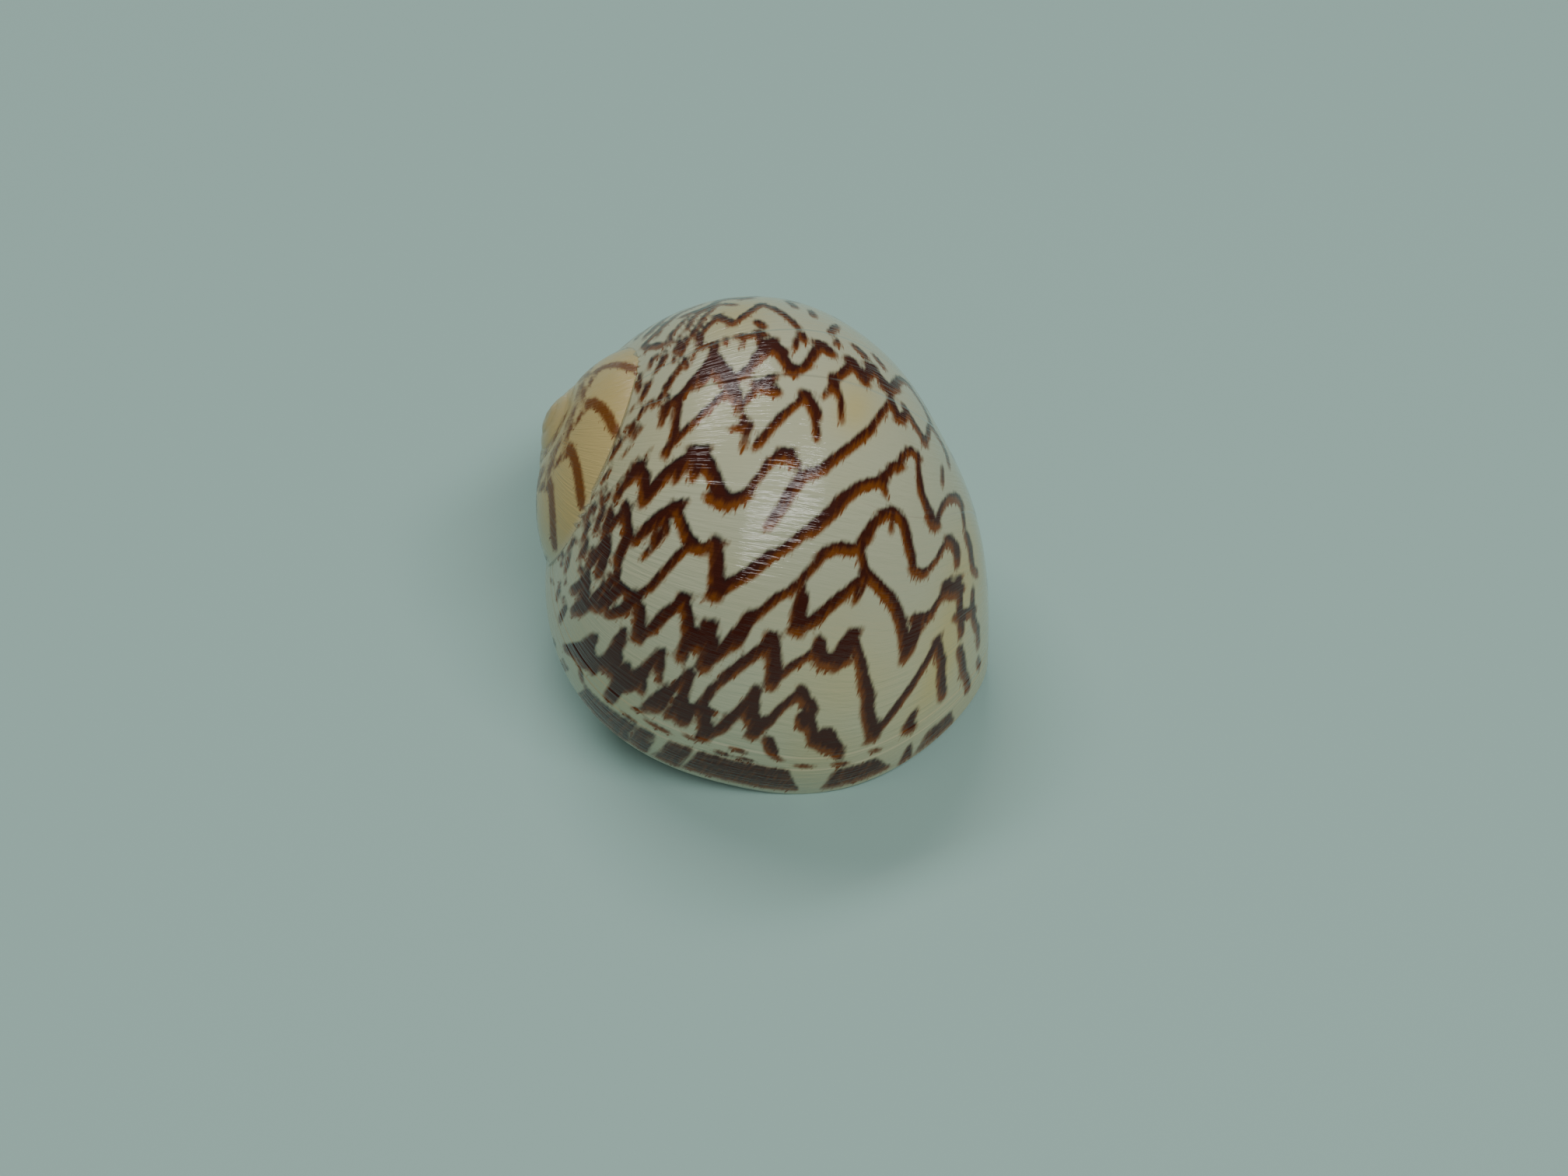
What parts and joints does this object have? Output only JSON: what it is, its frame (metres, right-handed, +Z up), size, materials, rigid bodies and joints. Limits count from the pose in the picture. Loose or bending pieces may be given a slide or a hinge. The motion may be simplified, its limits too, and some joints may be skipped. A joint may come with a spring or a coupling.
{
  "type": "sea snail shell",
  "caption": "Globose coiled sea snail shell with a low domed spire, a half-moon aperture, an umbilicus and a flat limy lid resting just inside the lip.",
  "frame": {"origin": "middle of the shell's outline seen from above, on the surface that it rests on", "axes": "+Z up as it lies on its aperture side, apex towards -X and a little +Y, base towards +X, outer lip towards -Y"},
  "size_m": [0.0236, 0.0246, 0.019],
  "materials": {
    "shell": "naturally glossy limy shell, off-white with dark brown zigzag lines",
    "operculum": "smooth limy plate, olive cream, satin"
  },
  "bodies": {
    "root": {"shell": "shell", "operculum": "operculum"}
  },
  "joints": []
}
